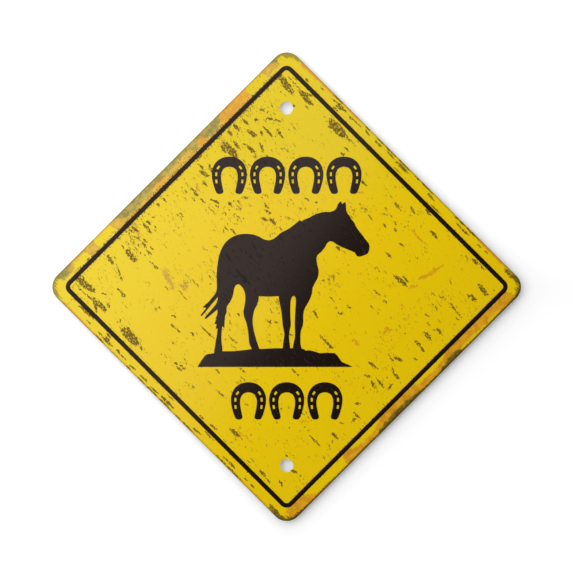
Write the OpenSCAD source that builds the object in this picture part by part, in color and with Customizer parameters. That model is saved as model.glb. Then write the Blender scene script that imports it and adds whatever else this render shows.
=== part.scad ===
// Horse crossing sign: a punched diamond of sheet metal with a printed front.
// The sheet stands upright in the XZ plane. Its printed front looks along -Y and its
// flat back lies at y = 0. The origin is midway between the two fixing holes.

/* [Sheet] */
// Distance across the sheet from one straight edge to the opposite one
side = 215.9; // [205:0.1:260]
// Thickness of the sheet
sheet_t = 1.6; // [1:0.1:3]
// Radius of the four corners, seen from the front
corner_r = 10; // [6:0.5:16]
// Rounding that the punch leaves along the front edge
edge_r = 0.4; // [0.1:0.05:0.8]

/* [Fixing holes] */
// Diameter of the two fixing holes
hole_d = 8.2; // [4:0.1:11]
// Distance of each hole's centre from the rounded tip of its corner
hole_from_tip = 35.3; // [28:0.1:42]
// Rounding that the punch leaves round the front of each hole
hole_edge_r = 0.3; // [0.1:0.05:0.8]

/* [Border line] */
// Yellow margin between the sheet's edge and the border line
border_inset = 7.5; // [4:0.1:10]
// Width of the border line
border_w = 2.8; // [1:0.1:4]
// Radius of the border line's outer corners
border_r = 5.1; // [4.5:0.1:8]

/* [Horse] */
// Height of the figure from the foot of the mound to the tips of the ears
figure_h = 105; // [70:0.5:112]
// Height of the foot of the mound, measured from the middle of the sheet
figure_foot_z = -50.8; // [-58:0.1:-40]
// Shift of the figure to the right of the middle of the sheet
figure_x = 0.4; // [-5:0.1:5]

/* [Horseshoes] */
// Width of one horseshoe
shoe_w = 22; // [16:0.1:23]
// Height of one horseshoe
shoe_h = 23.6; // [16:0.1:25]
// Yellow gap between neighbouring horseshoes
shoe_spacing = 2.2; // [1:0.1:4]
// Number of horseshoes in the upper row
upper_count = 4; // [1:1:4]
// Number of horseshoes in the lower row
lower_count = 3; // [1:1:3]
// Free height between the ears and the upper row
upper_gap = 4.6; // [2:0.1:6]
// Free height between the mound and the lower row
lower_gap = 9.7; // [3:0.1:12]
// Width of a nail hole
nail_w = 1.3; // [0.6:0.1:2]
// Length of a nail hole
nail_l = 2.4; // [1:0.1:3]

/* [Print] */
// Thickness of each printed field
ink_t = 0.1; // [0.05:0.01:0.3]

/* [Hidden] */
$fn = 96;

sheet_yellow = "#E2BF22";
print_black = "#30241B";

// Extra length that lets a cutter pass clear through
over = 1;

// Middle of the sheet to the rounded tip of a corner, and to a fixing hole
tip_reach = (side / 2 - corner_r) * sqrt(2) + corner_r;
hole_reach = tip_reach - hole_from_tip;

// The figure is drawn with its ears at this height above the foot of the mound
drawn_h = 105;
figure_scale = figure_h / drawn_h;

// Steps of the smooth curve between two neighbouring points of an outline
curve_steps = 3;

// Places of the two rows of horseshoes
upper_row_z = figure_foot_z + figure_h + upper_gap + shoe_h / 2;
lower_row_z = figure_foot_z - lower_gap - shoe_h / 2;

// The horse's outline, clockwise as seen from the front. Each point is its place along X and
// its height above the foot of the mound, and a third number of 1 makes it a sharp corner.
near_hind_leg_back = [
    [-46.5, 6, 1], [-46.3, 10], [-45.8, 13], [-45.2, 17], [-44.5, 21], [-44.2, 24.4, 1]];
tail_wisps = [
    [-45.4, 24.2, 1], [-44.8, 27, 1], [-46.2, 27.4, 1], [-44.8, 30.6, 1], [-45.6, 30.4, 1],
    [-44.3, 33.5], [-44.3, 36.4, 1],
    [-46.5, 34.6], [-49.5, 32.1], [-51.8, 30.2, 1], [-52.4, 31, 1], [-50, 34], [-47, 37.5],
    [-44.7, 40.8], [-43.9, 44.6, 1],
    [-45.4, 42.6], [-48, 39.6], [-51, 35.9], [-54.2, 32.2, 1], [-55, 32.7, 1], [-53, 35.3],
    [-51.2, 37.5, 1], [-53.7, 37.7, 1], [-52, 39.4], [-49.5, 41.6], [-47.4, 44.2], [-45.5, 46.6]];
rump_and_back = [
    [-44.6, 50], [-44.8, 57], [-44.4, 63], [-43.6, 68.5], [-42.2, 73.5], [-39.8, 78],
    [-36.5, 81.2], [-32, 83.5], [-27, 84.3], [-22, 83.9], [-18, 82.6], [-15, 80.9],
    [-11.5, 80.2], [-8, 81.6], [-4.6, 84.5], [-2, 86.1]];
mane = [
    [0, 87], [3, 89], [6, 91.4, 1], [7.9, 93.1, 1], [8.8, 92.2, 1], [11, 93.4], [14, 94.6],
    [17, 96.3], [20.5, 97.6], [24, 98.2], [27, 98.2]];
ears = [
    [30, 99.3], [31.3, 101], [32.3, 103.4], [33.9, 105, 1], [34.8, 103.2, 1], [36.7, 104.6, 1],
    [37.1, 102.6], [37.3, 99.6]];
face = [
    [38, 97.4], [39.5, 95.6], [40.6, 93.5], [42.4, 91.4], [43.5, 89], [45.5, 86.1],
    [47.5, 83.5], [49.5, 80.8], [51.4, 78.4], [52.1, 76.2], [51.8, 73.9], [51, 72],
    [49.6, 71.1], [47.5, 70.3], [45.3, 69.9], [43.8, 70.6], [42.8, 72.3]];
jaw_and_throat = [
    [40.5, 73.5], [37, 74.9], [34, 76.1], [31, 77.8], [29, 79.2], [27, 79.6], [25.2, 78.3],
    [23.8, 75.7], [21.5, 73], [19.3, 71]];
chest = [
    [18.5, 68.8], [19, 64.7], [19.9, 60.7], [19.3, 56.7], [17.4, 53], [16, 50], [15.7, 47],
    [14.6, 43.6], [12.8, 40]];
far_fore_leg = [
    [11, 37], [10.1, 33], [10.1, 28.5], [9.6, 25.4], [8.6, 22.8], [8.3, 18.7], [8.4, 14.5],
    [9, 11.9], [9.4, 9, 1],
    [3.2, 9, 1], [3.7, 13.7], [4.5, 17.4], [4.9, 21.3], [4.7, 27.2], [5, 34.2], [5.4, 41],
    [5.2, 43.7], [4.1, 45]];
near_fore_leg = [
    [2.9, 44.2], [2.1, 41.5], [1.9, 36.5], [2, 31], [2.2, 26.8], [1.5, 23], [1.1, 19.2],
    [1.5, 15], [2.2, 9, 1],
    [-3, 9, 1], [-2.7, 14.2], [-2.1, 18.3], [-1.9, 21.2], [-2.3, 23.6], [-2.9, 26.4],
    [-3.3, 31], [-4, 36.2], [-5, 41.3]];
belly = [[-5.6, 44.9, 1], [-9.5, 44.6], [-14, 44.6], [-18, 44.9, 1]];
far_hind_leg = [
    [-18.3, 42.2], [-19.3, 39.2], [-20.8, 36.2], [-21.6, 33], [-22, 29], [-21.6, 25],
    [-20.7, 21], [-19.5, 16.7], [-18.2, 12.9], [-17, 9.5, 1],
    [-22.4, 9.5, 1], [-22.8, 12.2], [-23.8, 13.8], [-24.3, 16.5], [-24.6, 20.2], [-25.1, 24.2],
    [-26, 28.2], [-27.3, 31.7], [-27.8, 35.2], [-27.1, 38.7], [-26.6, 42.2], [-26.7, 45.9],
    [-27.8, 49.3], [-29.5, 51.5], [-31.2, 52.4]];
near_hind_leg_front = [
    [-33, 51.2], [-33.9, 48.4], [-34.5, 45], [-36, 41.6], [-38, 38.8], [-38.5, 36.7],
    [-38.5, 34.5], [-39.4, 32], [-39.7, 28.5], [-39.9, 24.6, 1], [-41.2, 25.8, 1],
    [-41.5, 22.7], [-41.8, 18.2], [-41.5, 14.4], [-41.1, 11], [-40.7, 6, 1]];
horse_outline = concat(
    near_hind_leg_back, tail_wisps, rump_and_back, mane, ears, face, jaw_and_throat, chest,
    far_fore_leg, near_fore_leg, belly, far_hind_leg, near_hind_leg_front);

// The rocky mound under the horse, drawn from its left foot over the top to its right foot
mound_outline = [
    [-57, 0], [-55.8, 1.8], [-54, 4.7], [-52.2, 7.1], [-50.8, 8], [-46.5, 8.7], [-41, 9.9],
    [-34, 10], [-28, 10.6], [-22.5, 11.3], [-17, 11.4], [-8, 11.8], [2, 11.9], [9, 11.7],
    [10.8, 11.1], [11.6, 10.3], [13.5, 10.6], [16.5, 10], [20.5, 8.7], [25, 9], [30, 8.7],
    [31.5, 7.5], [34.5, 3.2], [36.5, 2.3], [38.5, 1.5], [41.3, 0]];

// The right half of a horseshoe with its toe up, from the middle of the toe's outer edge round
// the heel and back to the middle of its inner edge. The whole shoe is drawn 22 by 23.6.
drawn_shoe = [22, 23.6];
shoe_half = [
    [0, 11.8], [4.8, 10.9], [8.8, 7.9], [10.9, 3.2], [11, -1.6], [9.9, -6.6], [8.6, -10.2],
    [7.5, -11.6], [5.9, -11.8], [4.4, -11.4], [3.8, -10.2],
    [4.4, -7.3], [5.2, -3], [5.2, 0.8], [4, 3.7], [2.1, 5], [0, 5.4]];

// The three nail holes of that half: place along X, height, and lean of the hole from upright
shoe_nails = [[8.2, -3.9, -8], [8.3, 0.7, 3], [7, 4.9, 36]];

// Place of an outline point, without its corner mark
function place(p) = [p[0], p[1]];

// Whether an outline point is a sharp corner
function is_corner(p) = len(p) > 2;

// Point at t, from 0 to 1, on the smooth curve from b to c with the neighbours a and d
function curve_point(a, b, c, d, t) =
    b + t / 2 * ((c - a) + t * ((2 * a - 5 * b + 4 * c - d) + t * (3 * (b - c) + d - a)));

// Closed smooth curve through the points of an outline, straight between two sharp corners.
// At a corner the neighbour across it is mirrored away, so the curve leaves it straight.
function smooth_loop(outline) = [
    for (i = [0 : len(outline) - 1])
        let (
            n = len(outline),
            from = outline[i],
            to = outline[(i + 1) % n],
            b = place(from),
            c = place(to),
            a = is_corner(from) ? 2 * b - c : place(outline[(i + n - 1) % n]),
            d = is_corner(to) ? 2 * c - b : place(outline[(i + 2) % n]),
            steps = is_corner(from) && is_corner(to) ? 1 : curve_steps
        )
        for (k = [0 : steps - 1]) curve_point(a, b, c, d, k / steps)
];

// The left half that mirrors a right half, without the two points that both halves share
function mirrored(half) = [for (i = [len(half) - 2 : -1 : 1]) [-half[i][0], half[i][1]]];

// Turns a flat drawing upright, with its face to the front, from y = from_y by thickness t
module upright(from_y, t) {
    translate([0, from_y, 0])
        rotate([90, 0, 0])
            linear_extrude(height = t)
                children();
}

// Lays a printed field face to face on the front of the sheet
module printed_field() {
    color(print_black)
        upright(-sheet_t, ink_t)
            children();
}

// Flat square with round corners, measured across its sides, corners up and down
module diamond(width, r) {
    rotate(45)
        union() {
            square([width, width - 2 * r], center = true);
            square([width - 2 * r, width], center = true);
            for (sx = [-1, 1], sy = [-1, 1])
                translate([sx * (width / 2 - r), sy * (width / 2 - r)])
                    circle(r = r);
        }
}

// Section of the sheet's rim, from x = 0 out to reach, with its front edge rounded
module rim_section(reach) {
    union() {
        square([reach - edge_r, sheet_t]);
        square([reach, sheet_t - edge_r]);
        intersection() {
            translate([reach - edge_r, sheet_t - edge_r])
                circle(r = edge_r);
            translate([reach - edge_r, sheet_t - edge_r])
                square(edge_r);
        }
    }
}

// The blank before its holes are punched: a middle, four rim strips and four round corners
module blank() {
    straight = side - 2 * corner_r;
    linear_extrude(height = sheet_t)
        square(straight, center = true);
    for (turn = [0 : 90 : 270])
        rotate(turn) {
            translate([straight / 2, straight / 2, 0])
                rotate([90, 0, 0])
                    linear_extrude(height = straight)
                        rim_section(corner_r);
            translate([straight / 2, straight / 2, 0])
                rotate_extrude(angle = 90)
                    rim_section(corner_r);
        }
}

// Cutter for one fixing hole: a straight bore that opens out round its front edge
module hole_cutter() {
    translate([0, 0, -over])
        cylinder(d = hole_d, h = sheet_t + 2 * over);
    translate([0, 0, sheet_t - hole_edge_r])
        rotate_extrude()
            translate([hole_d / 2, 0])
                difference() {
                    translate([-hole_d / 4, 0])
                        square([hole_d / 4 + hole_edge_r, hole_edge_r + over]);
                    translate([hole_edge_r, 0])
                        circle(r = hole_edge_r);
                }
}

// The punched sheet, stood up on its lower corner with its back at y = 0
module sign_plate() {
    color(sheet_yellow)
        rotate([90, 0, 0])
            difference() {
                rotate(45)
                    blank();
                for (s = [-1, 1])
                    translate([0, s * hole_reach, 0])
                        hole_cutter();
            }
}

// The line that follows the sheet's edge
module border_line() {
    width = side - 2 * border_inset;
    printed_field()
        difference() {
            diamond(width, border_r);
            diamond(width - 2 * border_w, border_r - border_w);
        }
}

// The standing horse on its mound
module horse_figure() {
    printed_field()
        translate([figure_x, figure_foot_z])
            scale(figure_scale)
                union() {
                    polygon(smooth_loop(horse_outline));
                    polygon(mound_outline);
                }
}

// One horseshoe, toe up
module horseshoe() {
    stretch = [shoe_w / drawn_shoe[0], shoe_h / drawn_shoe[1]];
    outline = smooth_loop(concat(shoe_half, mirrored(shoe_half)));
    difference() {
        polygon([for (p = outline) [p[0] * stretch[0], p[1] * stretch[1]]]);
        for (side_x = [-1, 1], nail = shoe_nails)
            translate([side_x * nail[0] * stretch[0], nail[1] * stretch[1]])
                rotate(side_x * nail[2])
                    square([nail_w, nail_l], center = true);
    }
}

// A row of horseshoes, centred on x = 0
module horseshoe_row(count) {
    pitch = shoe_w + shoe_spacing;
    printed_field()
        for (i = [0 : count - 1])
            translate([(i - (count - 1) / 2) * pitch, 0])
                horseshoe();
}

// The row above the horse
module upper_horseshoes() {
    translate([0, 0, upper_row_z])
        horseshoe_row(upper_count);
}

// The row below the mound
module lower_horseshoes() {
    translate([0, 0, lower_row_z])
        horseshoe_row(lower_count);
}

sign_plate();
border_line();
horse_figure();
upper_horseshoes();
lower_horseshoes();
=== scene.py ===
# %% [markdown]
# # Dressing a printed metal sign
#
# The sign is one punched sheet of aluminium that hangs with a corner up. Its front carries a
# yellow print with a worn look, a black border line, a horse on a mound and two rows of
# horseshoes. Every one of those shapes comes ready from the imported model, so this script adds
# no shape to the sign. It gives each surface its finish, and then a studio to be seen in.
#
# The finish could be a photograph wrapped round the sheet, but then the sign would look right
# from one side only and at one size only. Here each stain and scratch is worked out by nodes
# from its place on the sheet in millimetres, so it stays sharp from close by.

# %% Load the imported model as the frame
import math

import bpy
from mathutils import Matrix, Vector


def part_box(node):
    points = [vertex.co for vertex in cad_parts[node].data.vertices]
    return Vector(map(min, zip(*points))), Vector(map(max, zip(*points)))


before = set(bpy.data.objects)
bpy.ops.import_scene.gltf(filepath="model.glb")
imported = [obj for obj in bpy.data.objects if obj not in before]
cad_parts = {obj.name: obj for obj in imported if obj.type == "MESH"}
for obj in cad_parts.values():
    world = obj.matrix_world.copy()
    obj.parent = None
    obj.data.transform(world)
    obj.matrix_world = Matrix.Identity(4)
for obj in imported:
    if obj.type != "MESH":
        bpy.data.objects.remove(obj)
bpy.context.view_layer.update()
bpy.ops.object.select_all(action="DESELECT")
print("nodes:", ", ".join(sorted(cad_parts)))

# %% Sizes that the finishes need, in millimetres
MM = 0.001
# Radii and the line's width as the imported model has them, which its boxes don't tell
CORNER_R = 10
FRONT_EDGE_R = 0.4
BORDER_R = 5.1
LINE_W = 2.8
# The worn pattern sits a little to the right of the sheet's middle, and a little above it
ARTWORK_X = 0.35
ARTWORK_Z = 0.45
plate_low, plate_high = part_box("sign_plate")
line_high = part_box("border_line")[1]
tip_reach = plate_high.x / MM
half_side = (tip_reach - CORNER_R) / math.sqrt(2) + CORNER_R
sheet_t = (plate_high.y - plate_low.y) / MM
margin_w = half_side - ((line_high.x / MM - BORDER_R) / math.sqrt(2) + BORDER_R)
print(f"sheet {2 * half_side:.1f} mm across, {sheet_t:.1f} mm thick, margin {margin_w:.1f} mm")

# %% [markdown]
# ## Helpers for every material
#
# A material is a tree of nodes. Adding a node by hand means picking its kind, choosing its
# settings and joining its sockets, so one function does these three things. Colours are
# written as the hex values that a paint chart gives. Blender's sockets want linear light, so
# one more function turns them round. A third starts an empty material.


# %% A colour, and a node with its settings and links
def linear(hex_colour):
    """The linear colour of an sRGB hex value."""
    parts = [int(hex_colour[i : i + 2], 16) / 255 for i in (1, 3, 5)]
    return [p / 12.92 if p <= 0.04045 else ((p + 0.055) / 1.055) ** 2.4 for p in parts] + [1]


def add(tree, kind, inputs=(), out=0, **settings):
    """Adds a node and returns one of its outputs. An input is a value or another node's output."""
    node = tree.nodes.new("ShaderNode" + kind)
    for name, value in settings.items():
        setattr(node, name, value)
    for key, value in inputs.items() if isinstance(inputs, dict) else enumerate(inputs):
        if isinstance(value, bpy.types.NodeSocket):
            tree.links.new(value, node.inputs[key])
        elif value is not None:
            node.inputs[key].default_value = value
    return node.outputs[out]


def new_material(name):
    """An empty material's node tree, and the shader that its finish goes into."""
    material = bpy.data.materials.new(name)
    material.use_nodes = True
    tree = material.node_tree
    return material, tree, tree.nodes["Principled BSDF"]


# Extra setting for a map range that eases in and out
SOFT = {"interpolation_type": "SMOOTHSTEP"}
print("a mid grey in linear light:", [round(c, 3) for c in linear("#808080")])

# %% [markdown]
# ## Places on the sheet
#
# All of the wear is laid out on the flat front, so it reads the object's own coordinates. Two
# views of them are handy. The upright one has X to the right and Z up, as someone facing the
# sign would measure. The turned one follows the edges: its X runs from the lower left edge to
# the upper right one, its Z from the lower right edge to the upper left one. A third value,
# the depth, says how far in from the nearest edge a point lies, round corners included.


# %% Coordinates in millimetres
def upright(tree):
    """Place on the sheet with X to the right and Z up."""
    place = add(tree, "TexCoord", out=3)
    return add(tree, "Mapping", {"Vector": place, "Scale": (1 / MM,) * 3})


def turned(tree, place):
    """The same place with X and Z square to the sheet's edges."""
    return add(tree, "Mapping", {"Vector": place, "Rotation": (0, math.radians(45), 0)})


def depth_in(tree, along_edges):
    """Distance in from the sheet's nearest edge, up to the corner radius."""
    straight = half_side - CORNER_R
    away = add(tree, "VectorMath", [along_edges], operation="ABSOLUTE")
    away = add(tree, "VectorMath", [away, (straight, 0, straight)], operation="SUBTRACT")
    away = add(tree, "VectorMath", [away, (0, 0, 0)], operation="MAXIMUM")
    flat = add(tree, "VectorMath", [away, (1, 0, 1)], operation="MULTIPLY")
    reach = add(tree, "VectorMath", [flat], out=1, operation="LENGTH")
    return add(tree, "Math", [CORNER_R, reach], operation="SUBTRACT")


def ragged(tree, place, amount, grain):
    """The place shaken by a noise, so that what is drawn there gets a ragged outline.

    It moves by up to half of amount either way, in grains of this width.
    """
    shake = add(tree, "TexNoise", {"Vector": place, "Scale": 1 / grain, "Detail": 2}, out=1)
    shake = add(tree, "VectorMath", [shake, (0.5,) * 3], operation="SUBTRACT")
    return add(tree, "VectorMath", [shake, (amount,) * 3, place], operation="MULTIPLY_ADD")


print(f"edges lie {half_side:.2f} mm from the middle")

# %% [markdown]
# ## Scratches and stains as shapes
#
# The worn look is made of many small marks that all lean the same way. Each one is written
# down as a stroke: where it starts, where it ends and how wide it is. A spherical gradient
# squeezed to that length and width is 1 on the stroke's middle line and falls to 0 at its
# rim. Taking the highest of them all gives one mask for a whole list of strokes.


# %% A mask from a list of strokes
STROKE_SPREAD = 1.6
# Y is divided by this, so that it makes no difference how deep in the sheet a point lies
SQUASH = 1000


def strokes(tree, place, marks):
    """Mask that rises to 1 along each mark. A mark is its two ends and its width."""
    mask = None
    for x0, z0, x1, z1, width in marks:
        middle = ((x0 + x1) / 2, 0, (z0 + z1) / 2)
        lean = math.atan2(z1 - z0, x1 - x0)
        reach = (math.hypot(x1 - x0, z1 - z0) + width) / 2
        local = add(tree, "Mapping", {
            "Vector": place, "Location": middle, "Rotation": (0, -lean, 0),
            "Scale": (reach * STROKE_SPREAD, SQUASH, width / 2 * STROKE_SPREAD),
        }, vector_type="TEXTURE")
        blob = add(tree, "TexGradient", [local], out=1, gradient_type="SPHERICAL")
        mask = blob if mask is None else add(tree, "Math", [mask, blob], operation="MAXIMUM")
    return mask


def twins(marks):
    """The same marks mirrored across the diagonal from the upper left to the lower right edge."""
    return [(-z0, -x0, -z1, -x1, width) for x0, z0, x1, z1, width in marks]


print("a stroke fades out", STROKE_SPREAD, "times as far out as its written width")

# %% The marks beside the upper right edge, which come again beside the lower left edge
# An end of a mark is how far it lies to the right of the middle and above it, in millimetres
edge_marks = [
    (-4.5, 132.5, 2.5, 123.5, 4.2), (0.8, 132.2, 2.6, 130.8, 1.0), (3.8, 129.4, 5.2, 128, 1.0),
    (6, 126.6, 8, 124.6, 1.0), (8.5, 123, 12.5, 118.8, 3.2), (9, 122.6, 16, 120.6, 1.8),
    (11, 118.6, 15.4, 115.6, 2.8), (12, 114, 13.4, 112.6, 1.2),
    (26.4, 101, 29.4, 100, 1.6), (28.5, 103, 35.5, 96, 5.6), (38.6, 92.6, 40.8, 92, 1.2),
    (91.2, 34.4, 94.6, 30.8, 2.0), (88, 48.2, 90.6, 45.2, 1.5), (117.4, 16.8, 120.2, 14.2, 2.0),
    (121.8, 13.8, 125, 10.2, 0.9),
]
# In the margin a place is how far along the edge it lies, and how deep. The upper end comes first.
margin_marks = [
    (-64, 0.9, -57, 0.8, 1.0), (-36, 0.9, -33, 0.9, 0.9), (-25.4, 0.9, -20.4, 0.8, 0.9),
    (-18, 0.8, -9.6, 0.8, 0.9), (-6.5, 0.9, 3, 0.8, 1.0), (8, 0.8, 12, 0.8, 0.9),
    (14, 0.8, 23, 0.9, 1.0), (44, 1.2, 46.4, 1.2, 0.9), (47, 1, 52, 1, 1.1), (53.6, 0.9, 65, 0.9, 1.2),
    (-74.4, 3.3, -71.6, 3.4, 0.9),
    (-63.6, 3.3, -61, 3.3, 1.0), (-59.4, 2.8, -52.4, 3, 1.8), (-58.6, 4.6, -55, 4.2, 1.2),
    (-59, 6.4, -56.4, 6.2, 1.3), (-47.6, 3.7, -45.6, 3.4, 1.5), (-45, 3.2, -39, 3.1, 1.0),
    (-35, 2.4, -31, 3.1, 1.0), (-25.4, 2.8, -20.6, 2.9, 1.4), (-16, 2.2, -9, 2.5, 1.0),
    (-6.4, 2.8, 3, 2.7, 2.0), (-5, 6.1, 0, 6.2, 0.8), (22, 2.9, 24.4, 2.9, 1.5), (24.4, 3.1, 28, 3.2, 0.8),
    (28, 6.6, 36, 6.3, 0.9), (48, 3.4, 52, 3.6, 1.1), (53, 3.6, 58, 3.5, 1.4), (67, 3.3, 69, 3.3, 1.1),
    (73, 3.3, 75, 3.2, 1.1), (-84, 6.2, -82.6, 6.3, 1.2), (91, 2.4, 98, 2.2, 2.6), (97, 1.6, 104, 1.4, 2.4),
]
print(len(edge_marks) + len(margin_marks), "marks beside each of the two edges")

# %% The marks of the left half
left_marks = [
    (-130, -13.8, -123.4, -19.8, 2.0), (-113.4, 18.8, -110.8, 14.6, 2.0), (-107, 11, -106.6, 9.4, 1.1),
    (-106.2, 8, -105.8, 6.6, 1.1), (-105.4, 5, -104.8, 3.8, 1.5), (-107.2, -2, -105.2, -3.4, 1.3),
    (-105, -4.4, -102.8, -6.6, 1.8), (-117, -4.6, -115.2, -5.4, 1.4), (-101, 21.4, -96.4, 16.6, 3.6),
    (-97.6, 37, -95, 35, 1.8), (-99.6, 35.8, -98.2, 34.4, 1.3), (-95.4, 31, -93, 29.5, 1.2),
    (-90.6, 29.5, -89.4, 28, 1.1), (-91.5, 27.5, -89.6, 24.8, 1.6), (-89, 22.2, -86.4, 20.3, 1.7),
    (-86.5, 24.5, -85, 23, 1.1), (-91, 39.2, -86.3, 34, 1.8), (-88.6, 41, -86.6, 39.4, 1.5),
    (-85.5, 44.3, -84.8, 43.4, 1.2), (-84, 38, -82.6, 36.6, 1.1), (-87.5, 15.8, -84, 13.2, 0.7),
    (-83.6, 12.2, -82.4, 11.2, 1.6), (-104.6, 25.6, -103.6, 23.8, 1.2), (-82.4, 51.8, -81, 50.8, 1.5),
    (-78.8, 55.6, -76.8, 53.2, 1.1), (-68.6, 47, -66.4, 44.6, 1.1), (-64.2, 7.4, -62.8, 5.8, 1.0),
    (-61, 4.8, -56, -0.5, 0.7), (-76.8, -0.8, -75.4, -2.2, 1.1), (-69, -2.6, -63.6, -8.8, 0.8),
    (-72.8, -19.2, -70.6, -19.6, 1.2), (-73.4, -24.4, -72, -25.8, 1.2), (-70.4, -26.8, -68.4, -28.8, 1.1),
    (-60.4, -29.8, -59.4, -30.8, 1.3), (-55, -25, -46.8, -33, 1.0), (-71, -48.6, -69.6, -50, 1.2),
    (-69.6, -51.6, -67.2, -53.6, 1.4), (-67.2, -50.6, -65, -52.6, 1.6), (-60.8, -62.2, -58.6, -64.4, 0.8),
    (-45.4, -52.6, -42.8, -55.2, 1.1), (-49.6, -60.6, -48.6, -61.8, 1.2), (-44.6, -66.2, -40, -69.8, 1.1),
    (-55, -82.4, -53.2, -84, 1.3), (-35.6, -91, -31.8, -94.6, 2.4), (-31.2, -17.5, -30, -19.5, 1.3),
    (-37, -31.5, -32.5, -36, 0.7), (-35.5, -37, -32.5, -40, 0.7), (-29.6, -52.2, -27.4, -54.2, 1.2),
]
print(len(left_marks), "marks on the left half")

# %% The marks above the horse
upper_marks = [
    (-15, 101, -9.5, 95, 1.6), (-6, 98, -3, 94.2, 1.8), (-12.5, 106.5, -9.5, 105.5, 1.6),
    (-8, 105.5, -6.5, 105, 1.1), (-5.5, 104.7, -4.5, 104.3, 1.0), (-27, 104.3, -25, 102.8, 1.6),
    (-17, 112, -15, 111, 1.3), (-20.5, 105.8, -18.5, 105.2, 1.1), (-33.5, 101.5, -31, 99.5, 2.2),
    (-37, 97.5, -35.5, 96, 2.0), (-17, 98.5, -16, 96, 1.2), (-16.8, 90, -15.2, 85.5, 1.8),
    (-24.5, 88, -21.5, 85, 2.2), (-24, 98, -20.5, 95.5, 3.0), (-27.5, 90, -25.5, 89.3, 1.0),
    (-38.5, 89, -33, 82.6, 4.6), (-34, 91.5, -30.5, 87.5, 2.0), (-41.4, 88, -39.4, 85, 2.0),
    (4, 115.3, 4.6, 113.8, 1.2), (-56, 77, -53.5, 74.5, 1.5), (-54.5, 72.5, -50.5, 70, 2.4),
    (-49.5, 76.5, -47.5, 72, 1.8), (-55.8, 82.6, -54.8, 82, 1.0), (-52.8, 65.2, -51.2, 63.8, 1.4),
    (-60.5, 61.5, -58.5, 59.8, 2.0), (-58.5, 58.6, -56.8, 57.5, 1.7), (-60, 55.8, -59, 54.4, 1.1),
    (-54.5, 55, -52.5, 53, 1.3), (-49.8, 50, -45.3, 45, 0.8), (-47.5, 54.5, -43.5, 52.8, 1.8),
    (-45, 50.8, -43.5, 49.8, 1.3), (-37, 53, -35.5, 50.8, 1.8), (-31.5, 54.3, -28.5, 50.3, 0.9),
    (-28, 56.3, -25.8, 55.8, 1.6), (-14, 51.5, -12, 49.5, 1.5), (-13.8, 48, -10.8, 46, 1.5),
    (-16, 43.5, -13.5, 41.8, 1.7), (-11, 42.5, -7.8, 39.5, 1.5), (-9, 43, -8, 38.6, 0.9),
    (-4.6, 37.2, -3.8, 35.6, 1.1), (-39.5, 37.5, -37.5, 35.2, 1.1), (-35, 35.5, -33, 33.5, 1.5),
    (12, 55.2, 13, 54.4, 1.6), (17.6, 53.6, 18.6, 52.8, 1.0), (34.6, 84, 35.6, 82.8, 1.5),
    (36.6, 87.8, 39, 85.4, 0.9), (46, 67.6, 50, 63.8, 1.2),
]
print(len(upper_marks), "marks above the horse")

# %% The marks of the right half
right_marks = [
    (31.4, 24.8, 33, 23.2, 1.5), (34.4, 22.6, 36.8, 20.6, 0.8), (51.6, 44.6, 53.8, 42, 1.0),
    (61.2, 38.8, 62.4, 37.2, 1.3), (68.2, 40.4, 68.8, 38.8, 1.1), (68.6, 36.2, 68.8, 34.8, 1.3),
    (68.4, 52.6, 71.4, 48.8, 1.6), (78.4, 49.6, 80.6, 46.2, 1.4), (62.8, 21, 66, 18, 1.0),
    (71.2, 26.8, 72.8, 26, 1.3), (69, 5.6, 75.2, 0.8, 2.8), (73.4, 6.2, 76.2, 3, 1.5),
    (117, -6.6, 119, -9, 2.4), (114, -5.6, 116.2, -6.8, 1.1), (122.4, -0.6, 126, -5, 3.0),
    (103.4, -11.2, 106.8, -15.6, 1.1), (106.8, -15.6, 110, -19.6, 0.9), (107.4, -20.4, 108.6, -21.4, 1.1),
    (93.8, -12.6, 94.6, -14, 1.3), (87.8, -18, 89.6, -19.4, 1.4), (89, -23, 90, -25, 1.1),
    (87.4, -29.6, 90.6, -33.8, 2.2), (95.4, -27.4, 98, -31, 1.7), (81.4, -35.2, 83.6, -37, 2.0),
    (84, -38, 86.8, -41.6, 1.1), (80.6, -45.6, 82, -47, 1.1), (68.6, -45.6, 72, -46.8, 2.0),
    (65.8, -46.2, 67, -47, 1.1), (66.4, -51.4, 67.2, -54.8, 1.2), (67.2, -54.8, 70.4, -58.4, 1.5),
    (52, -48.2, 56.8, -52.2, 1.7), (49.8, -56.8, 52, -57.2, 1.4), (53.6, -60.6, 55.2, -64.2, 1.6),
    (57, -59.4, 61.6, -64.4, 1.7), (63.6, -65.6, 66.4, -62.4, 1.4), (42.6, -80.4, 46.4, -84.6, 1.3),
    (41.6, -85.4, 43, -84.2, 1.3), (43.6, -74.6, 45.2, -74.4, 1.6), (33.4, -86.8, 35, -87.4, 1.2),
    (28.8, -93.4, 32, -96.8, 1.5), (26.6, -101, 27, -103.4, 1.0), (14.6, -95.2, 20.2, -100.8, 1.4),
    (-0.6, -107.2, 0.2, -108, 1.3), (2.6, -116.4, 5.8, -118, 1.5), (-4.8, -124, -3, -126.4, 1.6),
    (16.6, -15.6, 19.2, -19.8, 1.3), (20.8, -31.6, 25, -35.6, 1.5), (25, -35.6, 28.6, -39.6, 1.9),
    (27.2, -7, 30, -10, 0.8), (38, -12.4, 40, -13.8, 1.0), (32.4, -17, 34.8, -17.6, 1.2),
    (53, -12.6, 54, -14, 1.3), (61.4, -9.6, 62.6, -10.4, 1.5), (55, -3, 58.8, -5.6, 1.2),
    (-12, -21.8, -10.4, -23.2, 1.4), (-7.6, -22.6, -6.4, -23.2, 1.1), (2, -30.6, 3.2, -31.4, 1.2),
    (2.8, -52.2, 6.8, -56.4, 1.1),
]
print(len(right_marks), "marks on the right half and below")

# %% [markdown]
# ## Orange scrapes
#
# Here and there something rusty has rubbed along the face and left a faint orange or brown
# smear. They are strokes too, wider and fainter than the dark ones.

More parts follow.
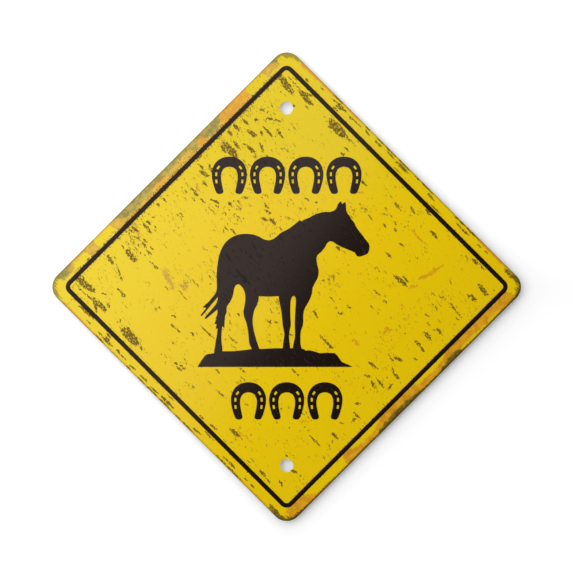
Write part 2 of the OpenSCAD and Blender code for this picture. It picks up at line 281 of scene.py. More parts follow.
# %% The scrapes
orange_scrapes = [
    (78, 35.4, 82, 31.6, 1.3), (82, 31.6, 88, 26.6, 0.9), (84.5, 4, 91.5, 8, 3.4),
    (91, 8.4, 97, 13, 1.5), (78, -1, 82, 1, 1.4),
    (41.6, -33.6, 44.4, -36.6, 2.2), (61.6, -28.6, 64.6, -27.8, 1.6),
    (-31.6, -90.6, -22.4, -99.8, 1.1), (44, 59.5, 48, 58.2, 1.6), (72, -12.5, 74, -13.6, 1.2),
]
brown_smears = [
    (-77.4, 9.6, -73, -0.4, 4.0), (-68.5, 0, -63.5, -1.4, 2.6), (-96.5, 38, -94.5, 34.6, 2.8),
    (-57.6, 65, -55.6, 60.6, 2.4), (-41.6, 93, -39.4, 87, 2.6),
]
print(len(orange_scrapes) + len(brown_smears), "scrapes")

# %% [markdown]
# ## Stains that creep in from the edges
#
# The margin outside the border line is stained in bands: orange and olive on the upper left
# and lower right edges, and little more than a dark rim on the other two. That rim is partly a
# stain and partly painted shade of the rounded edge. A band is a depth
# that changes along the edge. It could be drawn as a curve; here it is a colour ramp read as
# a height, with a stop wherever the band gets deeper or shallower.

# %% A band of stain along an edge
DEEPEST = 10
# Less than no depth at all, for a stretch without a stain
NONE = -2
# A band fades out over this much on either side of its edge
BAND_BLUR = 0.8


def band(tree, along, depth, stops):
    """Mask of a stain along an edge. stops holds places along the edge and depths there."""
    place = add(tree, "MapRange", {"Value": along, "From Min": -half_side, "From Max": half_side})
    height = add(tree, "ValToRGB", [place])
    ramp = height.node.color_ramp
    ramp.elements.remove(ramp.elements[1])
    for i, (where, deep) in enumerate(stops):
        spot = (where + half_side) / (2 * half_side)
        stop = ramp.elements[0] if i == 0 else ramp.elements.new(spot)
        stop.position = spot
        stop.color = [(deep - NONE) / (DEEPEST - NONE)] * 3 + [1]
    reach = add(tree, "MapRange", {"Value": height, "To Min": NONE, "To Max": DEEPEST})
    inside = add(tree, "Math", [reach, depth], operation="SUBTRACT")
    return add(tree, "MapRange", {"Value": inside, "From Min": -BAND_BLUR, "From Max": BAND_BLUR}, **SOFT)


# Upper left edge, from the left corner to the upper one
upper_left_tan = [
    (-97, NONE), (-95, 4), (-92, 5.4), (-87, 5.2), (-85, 1.8), (-75, 1.6), (-73, 9), (-66.5, 9),
    (-65.5, NONE),
    (-52, NONE), (-50.5, 9), (68, 9), (70, NONE), (83, NONE), (86, 6), (96, 5), (98, NONE),
]
upper_left_olive = [
    (-101, NONE), (-97, 5.6), (-92, 5), (-88, 2.5), (-84, NONE), (-52, NONE), (-46, 1.5), (-41, 5),
    (-33, 6), (-22, 5), (-14, 4), (0, 4), (9, 2.6), (18, 3), (20, 7), (23, 6), (25, 2.4), (29, 3.6),
    (34, 7), (40, 6), (46, 3), (49, NONE), (93, NONE), (96, 5), (99, NONE),
]
upper_left_orange = [
    (-56, NONE), (-50, 2), (-46, NONE), (-20, NONE), (-14, 7), (-6, 5), (0, NONE), (22, NONE), (27, 8),
    (34, 4), (40, NONE), (46, 7), (50, 10), (68, 10), (71, NONE),
]
# Lower right edge, from the lower corner to the right one
lower_right_orange = [
    (-103, NONE), (-101, 8), (-88, 8), (-84, 5.4), (-79, 2), (-75, 1.2), (-72, 2.6), (-69, 1.2),
    (-67, NONE), (-53, NONE), (-51, 8.5), (-46, 8), (-41, 5.2), (-30, 3.6), (-23, 4.8), (-16, 8),
    (10, 8), (16, 5.4), (26, 4.4), (36, 5), (44, 9), (80, 9), (96, 8), (100, NONE),
]
lower_right_bare = [
    (49, NONE), (51, 2.6), (70, 2.6), (73, 1.2), (76, 2.6), (85, 2.4), (86, NONE),
]
lower_right_olive = [
    (-27, NONE), (-22, 2.4), (-10, 3.6), (0, 3.4), (9, 2.6), (15, 0.9), (30, 0.6), (35, 2.4),
    (40, 3.4), (47, 3.6), (50, 2), (52, NONE),
]
# The upper right and lower left edges, from the end at the upper left
side_orange = [
    (-96, NONE), (-93, 2.4), (-84, 2), (-64, 1.4), (-57, 0.5), (-51, 1.4), (-42, 1.2), (-38, NONE),
    (62, NONE), (66, 1.6), (90, 1.6), (92, NONE),
]
print("bands for", round(2 * half_side, 1), "mm of edge on each side")

# %% [markdown]
# ## The printed front
#
# The real sheet is rolled aluminium, printed in colour and sealed with a satin lacquer. To the
# eye that is strong flat colour with a thin veil of light over it wherever it faces a lamp. A
# print has no depth, so its look is mostly colour: the yellow ground at the bottom, then the
# stains, then the scratches. They could be painted by hand on a picture, but a picture is only
# as sharp as its pixels. So each layer is one mask and one colour, mixed in from the bottom up.
# Where the print is scratched the lacquer is dull, so the same masks raise the roughness too.

# %% Sheet material: where its patterns lie
# Printed aluminium under satin lacquer, which gives strong colour with a soft sheen over it
sheet, tree, shader = new_material("satin printed aluminium")
place = upright(tree)
edges = turned(tree, place)
depth = depth_in(tree, edges)
artwork = add(tree, "VectorMath", [place, (ARTWORK_X, 0, ARTWORK_Z)], operation="SUBTRACT")
on_edges = add(tree, "SeparateXYZ", [edges]).node
# How far a point lies towards the upper left edge
up_left = on_edges.outputs["Z"]
SCRATCH_LEAN = math.radians(-56)


def hatch(tree, place, along, across, shift=0):
    """Noise with grains of this length and width in mm along the scratches. shift picks others."""
    local = add(tree, "Mapping", {
        "Vector": place, "Location": (shift, 0, 0), "Rotation": (0, -SCRATCH_LEAN, 0),
        "Scale": (along, across, across),
    }, vector_type="TEXTURE")
    return add(tree, "TexNoise", {"Vector": local, "Scale": 1, "Detail": 2, "Roughness": 0.6})


print("scratches lean", round(math.degrees(SCRATCH_LEAN)), "degrees from level")

# %% Sheet material: dark scratches
# How much a scratch is torn out of line, and how wide the bites are
TORN = 2.6
TORN_IN_MARGIN = 1.4
BITE_W = 1.6
# The slivers that a scratch is broken into
SLIVER_L = 1.5
SLIVER_W = 0.8
dark_marks = edge_marks + twins(edge_marks) + left_marks + upper_marks + right_marks
inner_mask = strokes(tree, ragged(tree, artwork, TORN, BITE_W), dark_marks)
from_top = add(tree, "Math", [up_left, -1], operation="MULTIPLY")
side_reach = add(tree, "Math", [on_edges.outputs["X"]], operation="ABSOLUTE")
side_depth = add(tree, "Math", [half_side, side_reach], operation="SUBTRACT")
beside_edge = add(tree, "CombineXYZ", {"X": from_top, "Z": side_depth})
outer_mask = strokes(tree, ragged(tree, beside_edge, TORN_IN_MARGIN, BITE_W), margin_marks)
stroke_mask = add(tree, "Math", [inner_mask, outer_mask], operation="MAXIMUM")
slivers = hatch(tree, place, SLIVER_L, SLIVER_W)
held = add(tree, "MapRange", {"Value": stroke_mask, "From Max": 0.45, "To Max": 0.47})
strength = add(tree, "Math", [held, slivers], operation="ADD")
scratches = add(tree, "MapRange", {"Value": strength, "From Min": 0.85, "From Max": 0.93}, **SOFT)
print(len(dark_marks) + 2 * len(margin_marks), "dark scratches")

# %% [markdown]
# ## Flecks too many to list
#
# Between the scratches lie hundreds of small flecks, crowded in some places and sparse in
# others. They could be thrown by a random number generator, one stroke each, but that would be
# hundreds of nodes. A noise with grains of their size, cut off near its peaks, gives them all
# at once. A second, broader noise raises and lowers the peaks, and with them the crowding.

# %% Sheet material: scattered flecks
# Real flecks go down to a fraction of a millimetre. Those here are as coarse as a picture shows.
FLECK_L = 2.8
FLECK_W = 1.1
DUST_L = 2.6
CLUSTER_W = 18
# A cluster and the upper left side draw flecks. A calm place and the margin lose them.
CLUSTER_PULL = 0.3
UPPER_PULL = 0.035
CALM_PULL = -0.1
MARGIN_LOSS = 0.07
calm_places = [
    (-84, 8, -76, -4, 16), (-100, -14, -84, -26, 14), (-62, 46, -56, 36, 14), (16, 106, 24, 96, 12),
    (60, 24, 68, 16, 12), (-106, 26, -100, 20, 10),
]
from_middle = add(tree, "VectorMath", [edges], operation="ABSOLUTE")
from_middle = add(tree, "SeparateXYZ", [from_middle]).node
farther = add(tree, "Math", [from_middle.outputs["X"], from_middle.outputs["Z"]], operation="MAXIMUM")
depth_from_edge = add(tree, "Math", [half_side, farther], operation="SUBTRACT")
clusters = add(tree, "TexNoise", {"Vector": place, "Scale": 1 / CLUSTER_W, "Detail": 1})
crowded = add(tree, "MapRange", {"Value": up_left, "From Min": 20, "From Max": 90,
                                 "To Max": UPPER_PULL})
crowded = add(tree, "Math", [clusters, CLUSTER_PULL, crowded], operation="MULTIPLY_ADD")
sheltered = add(tree, "MapRange", {"Value": depth_from_edge, "From Min": margin_w + 1,
                                   "From Max": margin_w, "To Max": MARGIN_LOSS})
crowded = add(tree, "Math", [crowded, sheltered], operation="SUBTRACT")
calm = strokes(tree, place, calm_places)
crowded = add(tree, "Math", [calm, CALM_PULL, crowded], operation="MULTIPLY_ADD")
grains = hatch(tree, place, FLECK_L, FLECK_W, shift=40)
crowd = add(tree, "Math", [crowded, grains], operation="ADD")
flecks = add(tree, "MapRange", {"Value": crowd, "From Min": 0.825, "From Max": 0.855}, **SOFT)
specks = hatch(tree, place, DUST_L, FLECK_W, shift=90)
haze = add(tree, "Math", [crowded, specks], operation="ADD")
dust = add(tree, "MapRange", {"Value": haze, "From Min": 0.825, "From Max": 0.875}, **SOFT)
print("flecks cut from grains", FLECK_L, "mm long and", FLECK_W, "mm wide")

# %% [markdown]
# ## The bands go onto the sheet
#
# A band with a smooth edge would look drawn with a ruler. It could get more and more stops,
# but a noise that shakes the place where it is read does the same with one node. Streaks and
# mottling then vary the colour inside a stain, and the corners and the rim get their own.

# %% Sheet material: the stained margin
# How much the edge of a stain wanders, and how wide the waves are
WANDER = 3.2
WAVE_W = 2.2
loose = ragged(tree, edges, WANDER, WAVE_W)
on_loose = add(tree, "SeparateXYZ", [loose]).node
rise = on_loose.outputs["X"]
climb = on_loose.outputs["Z"]
upper_left_depth = add(tree, "Math", [half_side, climb], operation="SUBTRACT")
lower_right_depth = add(tree, "Math", [climb, half_side], operation="ADD")
lower_left = add(tree, "MapRange", {"Value": rise, "From Min": 20, "From Max": -20, "To Max": 0.8})
loose_reach = add(tree, "Math", [rise], operation="ABSOLUTE")
loose_depth = add(tree, "Math", [half_side, loose_reach], operation="SUBTRACT")
loose_depth = add(tree, "Math", [loose_depth, lower_left], operation="ADD")
down_edge = add(tree, "Math", [climb, -1], operation="MULTIPLY")
tan_band = band(tree, rise, upper_left_depth, upper_left_tan)
bright_band = band(tree, rise, upper_left_depth, upper_left_orange)
olive_band = band(tree, rise, upper_left_depth, upper_left_olive)
orange_band = band(tree, rise, lower_right_depth, lower_right_orange)
bare_band = band(tree, rise, lower_right_depth, lower_right_bare)
green_band = band(tree, rise, lower_right_depth, lower_right_olive)
side_band = band(tree, down_edge, loose_depth, side_orange)
print("seven bands, each shaken by up to", WANDER / 2, "mm")

# %% Sheet material: streaks that mottle the stains
# The grains that a stain is mottled with, in millimetres
STREAK_L = 7
MOTTLE_W = 3
SMEAR_L = 7
SMEAR_W = 3
streaks = add(tree, "Mapping", {"Vector": edges, "Scale": (1, 1, STREAK_L)}, vector_type="TEXTURE")
streaks = add(tree, "TexNoise", {"Vector": streaks, "Scale": 1, "Detail": 2})
mottle = add(tree, "TexNoise", {"Vector": edges, "Scale": 1 / MOTTLE_W, "Detail": 4, "Roughness": 0.65})
mottle = add(tree, "MapRange", {"Value": mottle, "From Min": 0.35, "From Max": 0.65}, **SOFT)
smears = add(tree, "Mapping", {"Vector": loose, "Scale": (SMEAR_L, 1, SMEAR_W)}, vector_type="TEXTURE")
smears = add(tree, "TexNoise", {"Vector": smears, "Scale": 1, "Detail": 4, "Roughness": 0.65})
smeared = add(tree, "MapRange", {"Value": smears, "From Min": 0.38, "From Max": 0.62}, **SOFT)
print("streaks", STREAK_L, "mm long and 1 mm wide")

# %% Sheet material: olive corners, and a rim of stain and painted shade
# A point lies in a corner where both of its distances from the middle pass TIP_STARTS
TIP_STARTS = 88
TIP_FULL = 101
# A corner's stain is TIP_SPREAD times the streaks' noise deep, and TIP_HOLD is added to that
TIP_SPREAD = 9.5
TIP_HOLD = -2
near_tip = add(tree, "Math", [from_middle.outputs["X"], from_middle.outputs["Z"]], operation="MINIMUM")
near_tip = add(tree, "MapRange", {"Value": near_tip, "From Min": TIP_STARTS, "From Max": TIP_FULL})
tip_depth = add(tree, "Math", [streaks, TIP_SPREAD, TIP_HOLD], operation="MULTIPLY_ADD")
tip_depth = add(tree, "Math", [tip_depth, near_tip], operation="MULTIPLY")
tip_stain = add(tree, "Math", [tip_depth, depth], operation="SUBTRACT")
tip_stain = add(tree, "MapRange", {"Value": tip_stain, "From Min": -0.5, "From Max": 0.8}, **SOFT)
low_half = add(tree, "MapRange", {"Value": up_left, "From Min": 30, "From Max": -30})
tip_paint = add(tree, "Mix", {0: low_half, 6: linear("#857626"), 7: linear("#4C4418")}, out=2,
                data_type="RGBA")
# The rim: a thin olive line all round, partly a stain and partly painted shade of the rounded edge
rim = add(tree, "MapRange", {"Value": depth, "From Min": 1.5, "From Max": 0.4})
# Painted shade with some grime along the lower right edge, which faces away from the lamp: a dark line 0.9
# to 1.6 mm deep, made ragged by the slivers' noise
low_edge_shade_and_grime = add(tree, "MapRange", {"Value": up_left, "From Min": -100, "From Max": -106})
band_reach = add(tree, "MapRange", {"Value": slivers, "From Min": 0.4, "From Max": 0.6, "To Min": 0.9,
                               "To Max": 1.6})
dark_band = add(tree, "Math", [band_reach, depth], operation="SUBTRACT")
dark_band = add(tree, "MapRange", {"Value": dark_band, "From Min": -0.4, "From Max": 0.4}, **SOFT)
low_edge_shade_and_grime = add(tree, "Math", [low_edge_shade_and_grime, dark_band], operation="MULTIPLY")
print("corner stains start", TIP_STARTS, "mm from the middle")

# %% Sheet material: smudges that hug the border line
# Smudges lie this near the line, in grains of this length and width
SMUDGE_REACH = 2.2
SMUDGE_L = 1.1
SMUDGE_W = 0.7
# The line and the upper left side draw smudges, and the corners lose them
LINE_PULL = 0.2
SIDE_PULL = 0.1
TIP_LOSS = 0.25
line_middle = margin_w + LINE_W / 2
off_line = add(tree, "Math", [depth_from_edge, line_middle], operation="SUBTRACT")
off_line = add(tree, "Math", [off_line], operation="ABSOLUTE")
near_line = add(tree, "MapRange", {"Value": off_line, "From Min": LINE_W / 2 + SMUDGE_REACH,
                                   "From Max": LINE_W / 2, "To Max": LINE_PULL})
upper_side = add(tree, "MapRange", {"Value": up_left, "From Min": 85, "From Max": 92,
                                    "To Max": SIDE_PULL})
smudges = hatch(tree, place, SMUDGE_L, SMUDGE_W, shift=140)
smudges = add(tree, "Math", [smudges, near_line], operation="ADD")
smudges = add(tree, "Math", [smudges, upper_side], operation="ADD")
clean_tip = add(tree, "Math", [near_tip, TIP_LOSS], operation="MULTIPLY")
smudges = add(tree, "Math", [smudges, clean_tip], operation="SUBTRACT")
fringe = add(tree, "MapRange", {"Value": smudges, "From Min": 0.78, "From Max": 0.82}, **SOFT)
print("border line", round(line_middle, 2), "mm in from the edge")

# %% [markdown]
# ## Colours from the ground up
#
# With every mask ready, the colours can be laid on. Each could be a shader of its own, but all
# of them lie under the same coat of lacquer, so only the colour has to change. The order is
# that of the wear: the ground with painted shade towards its top, the dust and scrapes, the
# stains, a rim partly of painted shade, and the scratches on top.

# %% Sheet material: the yellow ground
# The yellow is golden, and turns to a paler lemon in patches and towards the left corner. The patches are
# its own tone. The paling towards the left, the lamp's side, is painted light.
LEMON = "#E1C522"
GOLDEN = "#E4C108"
PAINTED_LIGHT_WAY = (-0.9, 0, 0.44)
PATCH_W = 35
PATCH_PULL = 0.3
on_sheet = add(tree, "SeparateXYZ", [place]).node
patches = add(tree, "TexNoise", {"Vector": place, "Scale": 1 / PATCH_W, "Detail": 1})
# Painted light: paler towards the upper left, where the lamp stands
painted_light_side = add(tree, "VectorMath", [place, PAINTED_LIGHT_WAY], out=1, operation="DOT_PRODUCT")
painted_light_side = add(tree, "MapRange", {"Value": painted_light_side, "From Min": 20, "From Max": 120})
# Painted shade: the yellow darkens towards the top
painted_top_shade = add(tree, "MapRange", {"Value": on_sheet.outputs["Z"], "From Min": 45, "From Max": 95})
ground = add(tree, "Math", [patches, PATCH_PULL, painted_light_side], operation="MULTIPLY_ADD")
ground = add(tree, "MapRange", {"Value": ground, "From Min": 0.1, "From Max": 1.2}, **SOFT)
colour = add(tree, "Mix", {0: ground, 6: linear(GOLDEN), 7: linear(LEMON)}, out=2, data_type="RGBA")
print("yellow in linear light:", [round(c, 3) for c in linear(GOLDEN)])

# %% Sheet material: rubbed places
# A scrape has no sharp outline. It is frayed this much, in tufts of this width.
FRAY = 7
TUFT_W = 3
# How strongly a stroke's middle holds the rubbed colour against the slivers between
RUB_PULL = 0.6
frayed = ragged(tree, artwork, FRAY, TUFT_W)
scrape_mask = strokes(tree, frayed, orange_scrapes)
scrape_mask = add(tree, "Math", [scrape_mask, RUB_PULL, slivers], operation="MULTIPLY_ADD")
scrape_mask = add(tree, "MapRange", {"Value": scrape_mask, "From Min": 0.6, "From Max": 0.85}, **SOFT)
smear_mask = strokes(tree, frayed, brown_smears)
smear_mask = add(tree, "Math", [smear_mask, RUB_PULL, slivers], operation="MULTIPLY_ADD")
smear_mask = add(tree, "MapRange", {"Value": smear_mask, "From Min": 0.62, "From Max": 0.9}, **SOFT)
print("scrapes and smears frayed by up to", FRAY / 2, "mm")

# %% Sheet material: the stains' own colours
tan = add(tree, "Mix", {0: smeared, 6: linear("#BC9638"), 7: linear("#D9AC3C")}, out=2,
          data_type="RGBA")
bright = add(tree, "Mix", {0: smeared, 6: linear("#D2942C"), 7: linear("#E2A62A")}, out=2,
             data_type="RGBA")
olive = add(tree, "Mix", {0: smeared, 6: linear("#7E7A3E"), 7: linear("#AE9E4E")}, out=2,
            data_type="RGBA")
rust = add(tree, "Mix", {0: mottle, 6: linear("#C27E18"), 7: linear("#DE9E22")}, out=2,
           data_type="RGBA")
green = add(tree, "Mix", {0: mottle, 6: linear("#46421A"), 7: linear("#7A6A28")}, out=2,
            data_type="RGBA")
print("five stains, each between a dark and a light colour")

# %% Sheet material: layers of colour from the bottom up
# A layer is its mask, its opacity and its colour. The top shade is painted shade, and the low edge and the
# rim are partly painted shade.
layers = [
    (painted_top_shade, 0.9, linear("#DABF0A")), (dust, 0.5, linear("#9A7618")),
    (scrape_mask, 0.55, linear("#C8681E")), (smear_mask, 0.6, linear("#B07838")),
    (side_band, 0.85, linear("#D68E22")),
    (tan_band, 0.9, tan), (bright_band, 0.9, bright), (olive_band, 0.85, olive),
    (orange_band, 0.85, rust), (bare_band, 0.95, linear(GOLDEN)), (green_band, 0.9, green),
    (tip_stain, 0.8, tip_paint), (rim, 0.6, linear("#86711E")),
    (low_edge_shade_and_grime, 0.8, linear("#37330F")), (fringe, 0.85, linear("#3A2B0C")),
    (flecks, 0.82, linear("#5C4600")), (scratches, 0.92, linear("#5C4400")),
]
for mask, opacity, paint in layers:
    cover = add(tree, "Math", [mask, opacity], operation="MULTIPLY")
    colour = add(tree, "Mix", {0: cover, 6: colour, 7: paint}, out=2, data_type="RGBA")
print(len(layers), "layers over the yellow ground")

# %% [markdown]
# ## The bare metal behind it
#
# The same solid has bare aluminium on its back, on its cut edges and in its holes. A second
# material could be given to those faces, but the print has to end on the rounded front edge,
# in the middle of a face. So one material holds both finishes, and the distance behind the
# front says which one shows.

# %% Sheet material: bare aluminium behind the print
# Aluminium as it was rolled, which gives a soft grey mirror with fine lines all one way.
# Real rolling lines are about 0.2 mm apart. These are drawn 1.6 mm wide, so that they show.
ROLL_L = 120
ROLL_W = 1.6
CLOUD_W = 40
# The metal's tone is this share lines, and the rest clouds
LINE_SHARE = 0.5
# The print wraps this share of the front edge's rounding, and ends within this width
PRINT_WRAP = 0.8
PRINT_FADE = 0.05
print_ends = -(sheet_t - PRINT_WRAP * FRONT_EDGE_R)
bare = add(tree, "MapRange", {"Value": on_sheet.outputs["Y"], "From Min": print_ends,
                              "From Max": print_ends + PRINT_FADE})
rolled = add(tree, "Mapping", {"Vector": edges, "Scale": (ROLL_L, 1, ROLL_W)}, vector_type="TEXTURE")
rolled = add(tree, "TexNoise", {"Vector": rolled, "Scale": 1, "Detail": 3, "Roughness": 0.7})
rolled = add(tree, "MapRange", {"Value": rolled, "From Min": 0.32, "From Max": 0.68}, **SOFT)
clouds = add(tree, "TexNoise", {"Vector": place, "Scale": 1 / CLOUD_W, "Detail": 3})
clouds = add(tree, "MapRange", {"Value": clouds, "From Min": 0.35, "From Max": 0.7}, **SOFT)
oxide = add(tree, "Math", [rolled, LINE_SHARE], operation="MULTIPLY")
oxide = add(tree, "Math", [clouds, 1 - LINE_SHARE, oxide], operation="MULTIPLY_ADD")
metal = add(tree, "Mix", {0: oxide, 6: linear("#B4B6B9"), 7: linear("#DCDDDE")}, out=2,
            data_type="RGBA")
base = add(tree, "Mix", {0: bare, 6: colour, 7: metal}, out=2, data_type="RGBA")
tree.links.new(base, shader.inputs["Base Color"])
tree.links.new(bare, shader.inputs["Metallic"])
print("print ends", round(-print_ends, 2), "mm in front of the back")

# %% Sheet material: gloss and relief
# Rolled aluminium has a roughness of about 0.3, and satin lacquer one of about 0.2.
# Lacquer has an IOR of about 1.5. Under so big a lamp 1.32 gives the thin veil of the real one.
PRINT_IOR = 1.32
DULL_ROUGHNESS = 0.5
# Orange peel in the lacquer and rolling lines in the metal, about twice as deep as real ones
RELIEF = 0.004
PEEL_W = 1.4
metal_roughness = add(tree, "MapRange", {"Value": oxide, "To Min": 0.42, "To Max": 0.26})
dull = add(tree, "Math", [scratches, flecks], operation="MAXIMUM")
print_roughness = add(tree, "MapRange", {"Value": mottle, "To Min": 0.15, "To Max": 0.19})
print_roughness = add(tree, "Mix", {0: dull, 2: print_roughness, 3: DULL_ROUGHNESS})
shader.inputs["IOR"].default_value = PRINT_IOR
roughness = add(tree, "Mix", {0: bare, 2: print_roughness, 3: metal_roughness})
tree.links.new(roughness, shader.inputs["Roughness"])
peel = add(tree, "TexNoise", {"Vector": place, "Scale": 1 / PEEL_W, "Detail": 2})
relief = add(tree, "Mix", {0: bare, 2: peel, 3: rolled})
bumps = add(tree, "Bump", {"Height": relief, "Distance": RELIEF * MM})
tree.links.new(bumps, shader.inputs["Normal"])
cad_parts["sign_plate"].data.materials[0] = sheet
print("lacquer's orange peel", RELIEF, "mm deep")

# %% [markdown]
# ## The black ink
#
# The line, the horse and the horseshoes are screen ink: a thick opaque black that was pressed
# through a mesh and dried to a satin film. It could be one flat black, but then it would look
# like a hole in the picture. Real ink takes a faint warm veil from the lamp, is worn dull in
# small grains, and has a few scores. The border line shows less of the lamp than the horse
# does, so it wears a copy of the ink with less gloss.

# %% The black ink
# Screen ink, dried to a film, which gives a deep and slightly brown black with a soft veil on it.
# Ink has an IOR of about 1.5. Under so big a lamp these lower ones keep it as deep as it should be.
INK_IOR = 1.38
LINE_IOR = 1.3
WORN_L = 3.2
WORN_W = 1.1
GRAIN_L = 1.2
GRAIN_W = 0.8
ink_marks = [(-30.6, 9.4, -24.4, 2.8, 1.4), (-38, 20, -36, 17, 1.2), (14, 14, 16.5, 10.5, 1.2)]
ink, tree, shader = new_material("satin black screen ink")
place = upright(tree)
worn = hatch(tree, place, WORN_L, WORN_W)
worn = add(tree, "MapRange", {"Value": worn, "From Min": 0.6, "From Max": 0.66}, **SOFT)
scored = strokes(tree, place, ink_marks)
scored = add(tree, "MapRange", {"Value": scored, "From Max": 0.4}, **SOFT)
worn = add(tree, "Math", [worn, scored], operation="MAXIMUM")
tone = add(tree, "Mix", {0: worn, 6: linear("#1B120D"), 7: linear("#0A0604")}, out=2, data_type="RGBA")
tree.links.new(tone, shader.inputs["Base Color"])
grain = hatch(tree, place, GRAIN_L, GRAIN_W)
roughness = add(tree, "MapRange", {"Value": grain, "To Min": 0.14, "To Max": 0.2})
roughness = add(tree, "Mix", {0: worn, 2: roughness, 3: DULL_ROUGHNESS})
tree.links.new(roughness, shader.inputs["Roughness"])
bumps = add(tree, "Bump", {"Height": grain, "Distance": RELIEF * MM})
tree.links.new(bumps, shader.inputs["Normal"])
shader.inputs["IOR"].default_value = INK_IOR
shader.inputs["Specular Tint"].default_value = linear("#FFE7E1")
for name in ("horse_figure", "upper_horseshoes", "lower_horseshoes"):
    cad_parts[name].data.materials[0] = ink
line_ink = ink.copy()
line_ink.name = "dull black screen ink"
line_shader = line_ink.node_tree.nodes["Principled BSDF"]
line_shader.inputs["IOR"].default_value = LINE_IOR
line_shader.inputs["Specular Tint"].default_value = linear("#FFDCC8")
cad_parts["border_line"].data.materials[0] = line_ink
print("satin ink on three nodes, a duller one on the border line")

# %% [markdown]
# ## A white studio
#
# The sign hangs just in front of a white wall, which catches its soft shadow, over a pale
# floor. One big soft lamp stands at the upper left. The rest of the room gives a little light
# from the sides, and its dark middle behind the camera keeps the black ink black.
#
# More lamps could make the wall and floor white, but they would bleach the sign as well. So
# both glow a little, in the camera's eyes only. The glow is faint beside the sign, where the
# wall has to keep the shadow, and grows further out.


# %% Wall and floor
def stage_plane(name, middle, turn, size, material):
    """A flat piece of the studio."""
    bpy.ops.object.select_all(action="DESELECT")
    bpy.ops.mesh.primitive_plane_add(size=size, location=middle, rotation=turn)
    plane = bpy.context.object
    plane.name = name
    bpy.ops.object.transform_apply(location=True, rotation=True, scale=True)
    plane.data.materials.append(material)


WALL_GAP = 3 * MM
WALL_SIZE = 4
FLOOR_DROP = 70 * MM
FLOOR_SIZE = 8
FLOOR_Z = plate_low.z - FLOOR_DROP
# The glow grows from the near lift to the far one, over these distances from the sign's middle
NEAR_LIFT = 0.07
FAR_LIFT = 0.45
NEAR_REACH = 105 * MM
FAR_REACH = 240 * MM
# What is seen through the sign's holes glows by its own amount
HOLE_LIFT = 0.22
HOLE_REACH = 90 * MM


def stage_material(name, solid_when):
    """Paint for the camera's rays only. solid_when names the other rays that it stops as well."""
    material, tree, shader = new_material(name)
    output = tree.nodes["Material Output"]
    tree.nodes.remove(shader)
    # Matt white emulsion, rolled on, which has no gloss and shows only the shadow
    paint = add(tree, "BsdfDiffuse", {"Color": linear("#FFFFFF")})
    ray = add(tree, "LightPath").node
    camera_ray = ray.outputs["Is Camera Ray"]
    place = turned(tree, add(tree, "TexCoord", out="Object"))
    reach = add(tree, "VectorMath", [place], operation="ABSOLUTE")
    reach = add(tree, "SeparateXYZ", [reach]).node
    reach = add(tree, "Math", [reach.outputs["X"], reach.outputs["Z"]], operation="MAXIMUM")
    lift = add(tree, "MapRange", {"Value": reach, "From Min": NEAR_REACH, "From Max": FAR_REACH,
                                  "To Min": NEAR_LIFT, "To Max": FAR_LIFT})
    in_hole = add(tree, "Math", [reach, HOLE_REACH], operation="LESS_THAN")
    lift = add(tree, "Mix", {0: in_hole, 2: lift, 3: HOLE_LIFT})
    lift = add(tree, "Math", [camera_ray, lift], operation="MULTIPLY")
    glow = add(tree, "Emission", {"Strength": lift})
    lit = add(tree, "AddShader", [paint, glow])
    from_behind = add(tree, "NewGeometry", out="Backfacing")
    seen = add(tree, "Math", [camera_ray, from_behind], operation="SUBTRACT")
    if solid_when:
        seen = add(tree, "Math", [seen, ray.outputs[solid_when]], operation="MAXIMUM")
    clear = add(tree, "BsdfTransparent")
    look = add(tree, "MixShader", [seen, clear, lit])
    tree.links.new(look, output.inputs["Surface"])
    return material


stage_plane("studio_wall", (0, WALL_GAP, FLOOR_Z + WALL_SIZE / 2), (math.radians(90), 0, 0),
            WALL_SIZE, stage_material("white wall paint", "Diffuse Depth"))
stage_plane("studio_floor", (0, 0, FLOOR_Z), (0, 0, 0), FLOOR_SIZE,
            stage_material("pale floor paint", None))
print("wall", round(WALL_GAP / MM, 1), "mm behind the sign")

# %% [markdown]
# ## The light of the room
#
# Some light comes from the room itself. A panorama of a real studio could give it, but a few
# nodes that read the direction say just as well which side is bright, and need no file. The
# room is lit from its sides and from beyond the wall, and dark behind the camera.

# %% The room's own light
SIDE_LIGHT = 1.12
# Beyond the wall the room goes from dim to bright, upwards and to the right
BACK_DIM = 0.5
BACK_LIGHT = 1.5
BRIGHT_WAY = (0.5, 0, 0.87)
world = bpy.data.worlds.new("studio room")
bpy.context.scene.world = world
world.use_nodes = True
tree = world.node_tree
tree.nodes.clear()
direction = add(tree, "TexCoord", out="Generated")
toward = add(tree, "SeparateXYZ", [direction]).node
squared = add(tree, "Math", [toward.outputs["Y"], 2], operation="POWER")
sides = add(tree, "MapRange", {"Value": squared, "To Min": SIDE_LIGHT, "To Max": 0})
brighter_side = add(tree, "VectorMath", [direction, BRIGHT_WAY], out=1, operation="DOT_PRODUCT")
height = add(tree, "MapRange", {"Value": brighter_side, "From Min": -0.35, "From Max": 0.6,
                                "To Min": BACK_DIM, "To Max": BACK_LIGHT})
beyond = add(tree, "Math", [toward.outputs["Y"], 0], operation="GREATER_THAN")
level = add(tree, "Mix", {0: beyond, 2: sides, 3: height})
room = add(tree, "Background", {"Strength": level})
white = add(tree, "Background", {"Color": linear("#FFFFFF")})
# The camera sees plain white, and so does bare metal that mirrors the far half of the room.
# The near half keeps its own dim light there, because white would turn the black ink grey.
ray = add(tree, "LightPath").node
mirrored = add(tree, "Math", [ray.outputs["Is Glossy Ray"], ray.outputs["Is Transmission Ray"]],
               operation="MAXIMUM")
mirrored = add(tree, "Math", [mirrored, beyond], operation="MULTIPLY")
seen = add(tree, "Math", [ray.outputs["Is Camera Ray"], mirrored], operation="MAXIMUM")
look = add(tree, "MixShader", [seen, room, white])
output = tree.nodes.new("ShaderNodeOutputWorld")
tree.links.new(look, output.inputs["Surface"])
print("sides of the room", SIDE_LIGHT, "and its far end", BACK_LIGHT)

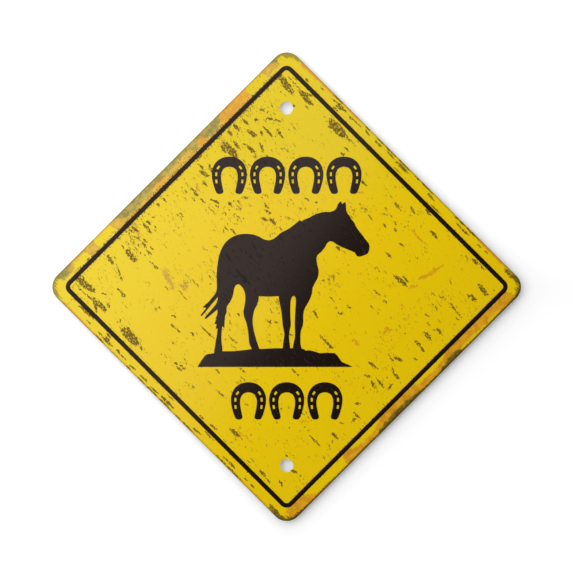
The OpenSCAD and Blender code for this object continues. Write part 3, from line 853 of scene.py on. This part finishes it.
# %% [markdown]
# ## The lamp
#
# The real sign shows a broad veil of light on its upper left half and a blurred shadow at the
# lower right. A small lamp would give a bright spot and a sharp shadow. So this one is a
# rectangle far larger than the sign, like a softbox, that leans and ends over the middle.

# %% The big soft lamp
LAMP_AWAY = 0.52
LAMP_W = 1.4
LAMP_H = 1.6
# The lamp leans this much, with its near edge this far from the middle of the sign
LAMP_RISE = math.radians(33)
LAMP_EDGE = -0.001
LAMP_RAISED = 0.1
# Its level doesn't depend on its size, and is matched to how bright the real yellow is
LAMP_LEVEL = 1.45
out_left = Vector((-math.cos(LAMP_RISE), 0, math.sin(LAMP_RISE)))
upward = Vector((math.sin(LAMP_RISE), 0, math.cos(LAMP_RISE)))
lamp_place = out_left * (LAMP_EDGE + LAMP_W / 2) + upward * LAMP_RAISED
lamp_place.y = -LAMP_AWAY
bpy.ops.object.light_add(type="AREA", location=lamp_place,
                         rotation=(math.radians(90), LAMP_RISE, 0))
lamp = bpy.context.object
lamp.name = "soft_lamp"
lamp.data.shape = "RECTANGLE"
lamp.data.size = LAMP_W
lamp.data.size_y = LAMP_H
lamp.data.energy = LAMP_LEVEL * math.pi * LAMP_W * LAMP_H
lamp.visible_camera = False
print(f"lamp {LAMP_AWAY} m away, {lamp.data.energy:.1f} W")

# %% [markdown]
# ## The camera
#
# The photograph looks straight at the sign with a long lens, so its edges stay parallel and
# none of its thickness shows. The distance follows from the lens and from how wide a strip of
# the sign's plane the picture takes in.

# %% Camera
LENS = 100
SENSOR = 36
# The picture takes in this many millimetres of the sign's plane, and is centred beside its middle
VIEW_W = 363
VIEW_LEFT = 0.1
VIEW_UP = 0.14
away = VIEW_W * LENS / SENSOR
bpy.ops.object.camera_add(location=(-VIEW_LEFT * MM, plate_low.y - away * MM, VIEW_UP * MM),
                          rotation=(math.radians(90), 0, 0))
camera = bpy.context.object
camera.data.lens = LENS
camera.data.sensor_width = SENSOR
camera.data.clip_start = 0.05
bpy.context.scene.camera = camera
bpy.context.scene.view_settings.view_transform = "Standard"
print(f"camera {away:.0f} mm in front of the sign")
